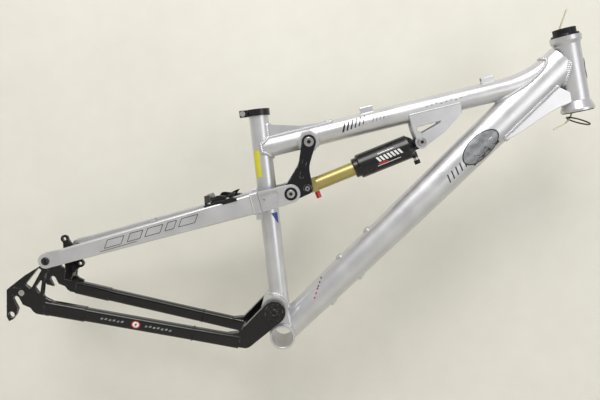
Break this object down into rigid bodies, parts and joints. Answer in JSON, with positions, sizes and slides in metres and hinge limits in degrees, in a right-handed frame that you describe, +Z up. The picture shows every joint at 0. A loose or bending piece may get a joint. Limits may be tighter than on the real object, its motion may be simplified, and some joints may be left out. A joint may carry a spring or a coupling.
{
  "type": "bicycle frame",
  "caption": "Full-suspension mountain bicycle frame with a linkage-driven air shock between the top tube and a rocker, pivoting chain stays and seat stays.",
  "frame": {"origin": "centre of the bottom bracket shell", "axes": "+X forward towards the head tube, +Y to the rider's left (away from the drive side), +Z up; the wheel axle is 6.5 mm above the origin"},
  "size_m": [0.8837, 0.1608, 0.6288],
  "materials": {
    "silver_paint": "satin silver paint",
    "black_paint": "gloss black paint",
    "black_anodised": "black anodised, satin",
    "black_plastic": "matt",
    "seal_rubber": "matt",
    "bearing_steel": "ground steel",
    "bright_steel": "bright turned",
    "dark_steel": "blackened",
    "gold_anodised": "gold coated, glossy",
    "red_anodised": "red anodised",
    "tie_nylon": "translucent nylon",
    "badge": "glossy domed badge"
  },
  "bodies": {
    "front_triangle": {"bottom_bracket_shell": "silver_paint", "main_pivot_forging": "silver_paint", "main_pivot_bearings": "bearing_steel", "down_tube": "silver_paint", "seat_tube": "silver_paint", "top_tube": "silver_paint", "head_tube": "silver_paint", "head_gusset": "silver_paint", "seat_gusset": "silver_paint", "rocker_boss": "silver_paint", "rocker_bearings": "bearing_steel", "shock_bracket_right": "silver_paint", "shock_bracket_left": "silver_paint", "shock_bolt_upper": "bright_steel", "bottle_bosses": "silver_paint", "cable_guides": "silver_paint", "seat_collar": "black_anodised", "seat_collar_bolt": "bright_steel", "headset_cup_upper": "black_anodised", "headset_plug": "black_plastic", "headset_cup_lower": "black_anodised", "cable_tie": "tie_nylon", "spare_race": "dark_steel", "head_badge": "badge"},
    "chainstay": {"chainstay_tube_right": "black_paint", "chainstay_tube_left": "black_paint", "chainstay_elbow_right": "black_paint", "chainstay_elbow_left": "black_paint", "chainstay_bridge": "black_paint", "main_pivot_axle": "bright_steel", "main_pivot_caps": "black_anodised", "dropout_right": "black_paint", "dropout_left": "black_paint", "derailleur_hanger": "black_paint", "hanger_bolt": "bright_steel", "disc_mount": "black_paint"},
    "seatstay": {"seatstay_right": "silver_paint", "seatstay_left": "silver_paint", "seatstay_clevis_right": "silver_paint", "seatstay_clevis_left": "silver_paint", "rear_pivot_bolts": "dark_steel", "seatstay_yoke_right": "silver_paint", "seatstay_yoke_left": "silver_paint", "seatstay_bridge": "black_anodised", "bridge_screws": "bright_steel", "stay_clips": "silver_paint", "link_bolts": "bright_steel", "link_seals": "seal_rubber"},
    "rocker": {"rocker_right": "black_paint", "rocker_left": "black_paint", "rocker_axle": "bright_steel", "shock_bolt_lower": "bright_steel"},
    "shock_body": {"shock_head": "black_anodised", "air_valve": "bright_steel", "valve_cap": "black_plastic", "air_can": "black_anodised", "wiper_collar": "black_anodised"},
    "shock_rod": {"shock_shaft": "gold_anodised", "shaft_eyelet": "gold_anodised"},
    "rebound_knob": {"rebound_knob": "red_anodised"}
  },
  "joints": [
    {"name": "main_pivot", "type": "hinge", "parent": "front_triangle", "child": "chainstay", "pos_m": [-0.0205, 0, 0.0425], "axis": [0, 1, 0], "range_deg": [0, 18], "stiffness_Nm_per_rad": 1400, "springref_deg": -1.15},
    {"name": "rear_pivot", "type": "hinge", "parent": "chainstay", "child": "seatstay", "pos_m": [-0.3835, 0, 0.075], "axis": [0, -1, 0], "range_deg": [0, 1.92]},
    {"name": "rocker_pivot", "type": "hinge", "parent": "front_triangle", "child": "rocker", "pos_m": [-0.00884, 0, 0.32252], "axis": [0, -1, 0], "range_deg": [0, 37.15]},
    {"name": "shock_top_pivot", "type": "hinge", "parent": "front_triangle", "child": "shock_body", "pos_m": [0.17223, 0, 0.35113], "axis": [0, -1, 0], "range_deg": [0, 2.47]},
    {"name": "shock_stroke", "type": "slide", "parent": "shock_body", "child": "shock_rod", "axis": [0.8554, 0, 0.518], "range_m": [0, 0.0477]},
    {"name": "rebound_turn", "type": "hinge", "parent": "shock_rod", "child": "rebound_knob", "pos_m": [0.01827, 0, 0.24339], "axis": [0.518, 0, -0.8554], "range_deg": [0, 270]}
  ],
  "couplings": [
    {"joint": "rear_pivot", "follows": "main_pivot", "ratio": 0.1066},
    {"joint": "rocker_pivot", "follows": "main_pivot", "ratio": 2.064},
    {"joint": "shock_top_pivot", "follows": "main_pivot", "ratio": 0.13736},
    {"joint": "shock_stroke", "follows": "main_pivot", "m_per_rad": 0.15181}
  ]
}
